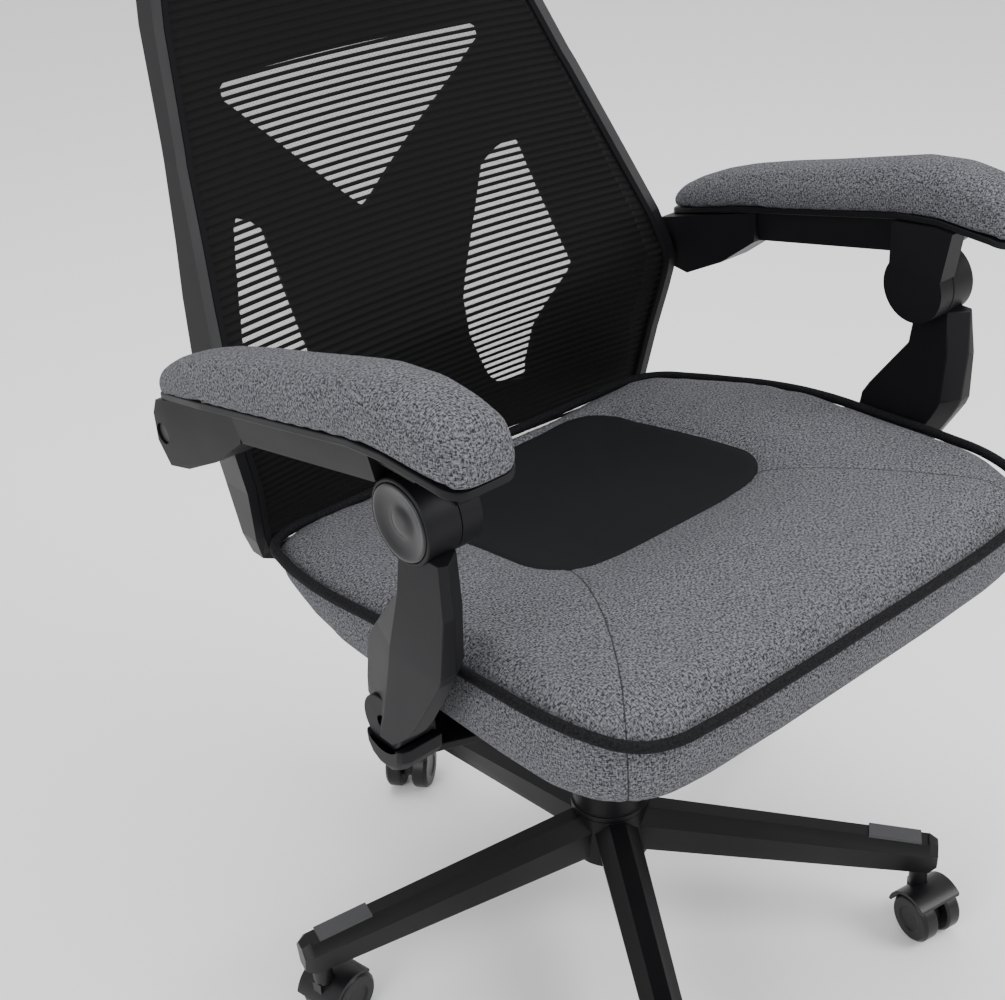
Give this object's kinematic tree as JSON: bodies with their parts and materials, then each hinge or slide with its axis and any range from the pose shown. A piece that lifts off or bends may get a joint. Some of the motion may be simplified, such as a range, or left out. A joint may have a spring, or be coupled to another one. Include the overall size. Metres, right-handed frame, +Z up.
{
  "type": "gaming chair",
  "caption": "Mesh-back gaming chair with a grey fabric seat, a caster base, a gas-lift column and link armrests that follow the reclining back.",
  "frame": {"origin": "on the floor, on the axis of the column, under the base", "axes": "+Z up, +X to the sitter's left, -Y the way the sitter faces"},
  "size_m": [0.633, 0.6741, 1.182],
  "materials": {
    "base_plastic": "satin moulded nylon",
    "plastic": "satin moulded",
    "arm_plastic": "fine grain moulded",
    "shell": "satin moulded",
    "cap": "satin moulded",
    "grip": "textured",
    "wheel": "moulded nylon",
    "black_steel": "black powder coat",
    "steel": "turned",
    "board": "plywood with black cover cloth",
    "grey_fabric": "heathered linen weave",
    "black_fabric": "smooth knit",
    "piping": "corded piping",
    "mesh": "ribbed elastic mesh",
    "binding": "woven welt"
  },
  "bodies": {
    "base": {"base_star": "base_plastic", "foot_pads": "grip", "gas_tube": "black_steel", "cover_lower": "plastic"},
    "cover": {"cover_middle": "plastic"},
    "column": {"piston_rod": "steel", "cover_upper": "plastic"},
    "seat": {"tilt_housing": "black_steel", "seat_plate": "black_steel", "seat_board": "board", "seat_cushion": "grey_fabric", "seat_panel": "black_fabric", "seat_piping": "piping", "hinge_brackets": "black_steel", "hinge_pin": "steel", "arm_bracket_right": "arm_plastic", "arm_bracket_left": "arm_plastic", "arm_pin_right": "steel", "arm_pin_left": "steel"},
    "lift_lever": {"lift_lever": "plastic"},
    "recline_lever": {"recline_lever": "plastic"},
    "tension_knob": {"tension_knob": "plastic"},
    "back": {"back_rim": "plastic", "back_mesh": "mesh", "back_shell": "shell", "back_bar": "plastic", "back_bolts": "steel", "mesh_binding": "binding", "headrest_guide": "plastic", "arm_stud_right": "steel", "arm_stud_left": "steel"},
    "headrest": {"headrest_stem": "plastic", "headrest_shell": "shell", "headrest_pad": "grey_fabric"},
    "arm_right": {"arm_beam_right": "arm_plastic", "arm_plate_right": "arm_plastic", "arm_pad_right": "grey_fabric"},
    "post_right": {"arm_post_right": "arm_plastic", "post_cap_right": "cap"},
    "arm_left": {"arm_beam_left": "arm_plastic", "arm_plate_left": "arm_plastic", "arm_pad_left": "grey_fabric"},
    "post_left": {"arm_post_left": "arm_plastic", "post_cap_left": "cap"},
    "caster_1": {"caster_hood_1": "plastic", "caster_pins_1": "steel"},
    "wheels_1": {"caster_wheels_1": "wheel"},
    "caster_2": {"caster_hood_2": "plastic", "caster_pins_2": "steel"},
    "wheels_2": {"caster_wheels_2": "wheel"},
    "caster_3": {"caster_hood_3": "plastic", "caster_pins_3": "steel"},
    "wheels_3": {"caster_wheels_3": "wheel"},
    "caster_4": {"caster_hood_4": "plastic", "caster_pins_4": "steel"},
    "wheels_4": {"caster_wheels_4": "wheel"},
    "caster_5": {"caster_hood_5": "plastic", "caster_pins_5": "steel"},
    "wheels_5": {"caster_wheels_5": "wheel"}
  },
  "joints": [
    {"name": "height", "type": "slide", "parent": "base", "child": "column", "axis": [0, 0, 1], "range_m": [-0.04, 0.06]},
    {"name": "cover_slide", "type": "slide", "parent": "base", "child": "cover", "axis": [0, 0, 1], "range_m": [-0.02, 0.03]},
    {"name": "swivel", "type": "hinge", "parent": "column", "child": "seat", "pos_m": [0, 0, 0.36], "axis": [0, 0, 1], "continuous": true},
    {"name": "recline", "type": "hinge", "parent": "seat", "child": "back", "pos_m": [0, 0.2255, 0.3886], "axis": [-1, 0, 0], "range_deg": [0, 40]},
    {"name": "lift_lever_pull", "type": "hinge", "parent": "seat", "child": "lift_lever", "pos_m": [0.06, 0.04, 0.385], "axis": [1, 0, 0], "range_deg": [0, 12], "stiffness_Nm_per_rad": 0.4},
    {"name": "recline_lever_pull", "type": "hinge", "parent": "seat", "child": "recline_lever", "pos_m": [0, 0.2255, 0.3886], "axis": [1, 0, 0], "range_deg": [0, 20], "stiffness_Nm_per_rad": 0.6},
    {"name": "tension_turn", "type": "hinge", "parent": "seat", "child": "tension_knob", "pos_m": [0, -0.157, 0.378], "axis": [0, -1, 0], "continuous": true},
    {"name": "headrest_height", "type": "slide", "parent": "back", "child": "headrest", "axis": [0, 0, 1], "range_m": [0, 0.04]},
    {"name": "arm_link_right", "type": "hinge", "parent": "back", "child": "arm_right", "pos_m": [0, 0.18, 0.577], "axis": [-1, 0, 0], "range_deg": [-40, 0]},
    {"name": "post_link_right", "type": "hinge", "parent": "seat", "child": "post_right", "pos_m": [0, -0.085, 0.437], "axis": [-1, 0, 0], "range_deg": [0, 40]},
    {"name": "arm_link_left", "type": "hinge", "parent": "back", "child": "arm_left", "pos_m": [0, 0.18, 0.577], "axis": [-1, 0, 0], "range_deg": [-40, 0]},
    {"name": "post_link_left", "type": "hinge", "parent": "seat", "child": "post_left", "pos_m": [0, -0.085, 0.437], "axis": [-1, 0, 0], "range_deg": [0, 40]},
    {"name": "caster_1_swivel", "type": "hinge", "parent": "base", "child": "caster_1", "pos_m": [0.27874, 0.11092, 0.06], "axis": [0, 0, 1], "continuous": true},
    {"name": "wheels_1_spin", "type": "hinge", "parent": "caster_1", "child": "wheels_1", "pos_m": [0.26291, 0.11323, 0.025], "axis": [-0.1444, -0.9895, 0], "continuous": true},
    {"name": "caster_2_swivel", "type": "hinge", "parent": "base", "child": "caster_2", "pos_m": [-0.01936, 0.29938, 0.06], "axis": [0, 0, 1], "continuous": true},
    {"name": "wheels_2_spin", "type": "hinge", "parent": "caster_2", "child": "wheels_2", "pos_m": [-0.03185, 0.28937, 0.025], "axis": [0.6252, -0.7804, 0], "continuous": true},
    {"name": "caster_3_swivel", "type": "hinge", "parent": "base", "child": "caster_3", "pos_m": [-0.2907, 0.0741, 0.06], "axis": [0, 0, 1], "continuous": true},
    {"name": "wheels_3_spin", "type": "hinge", "parent": "caster_3", "child": "wheels_3", "pos_m": [-0.27498, 0.07707, 0.025], "axis": [-0.1857, 0.9826, 0], "continuous": true},
    {"name": "caster_4_swivel", "type": "hinge", "parent": "base", "child": "caster_4", "pos_m": [-0.16031, -0.25358, 0.06], "axis": [0, 0, 1], "continuous": true},
    {"name": "wheels_4_spin", "type": "hinge", "parent": "caster_4", "child": "wheels_4", "pos_m": [-0.14847, -0.26435, 0.025], "axis": [0.673, 0.7396, 0], "continuous": true},
    {"name": "caster_5_swivel", "type": "hinge", "parent": "base", "child": "caster_5", "pos_m": [0.19163, -0.23082, 0.06], "axis": [0, 0, 1], "continuous": true},
    {"name": "wheels_5_spin", "type": "hinge", "parent": "caster_5", "child": "wheels_5", "pos_m": [0.18877, -0.24656, 0.025], "axis": [0.9839, -0.1788, 0], "continuous": true}
  ],
  "couplings": [
    {"joint": "cover_slide", "follows": "height", "ratio": 0.5},
    {"joint": "arm_link_right", "follows": "recline", "ratio": -1},
    {"joint": "post_link_right", "follows": "recline", "ratio": 1},
    {"joint": "arm_link_left", "follows": "recline", "ratio": -1},
    {"joint": "post_link_left", "follows": "recline", "ratio": 1}
  ]
}
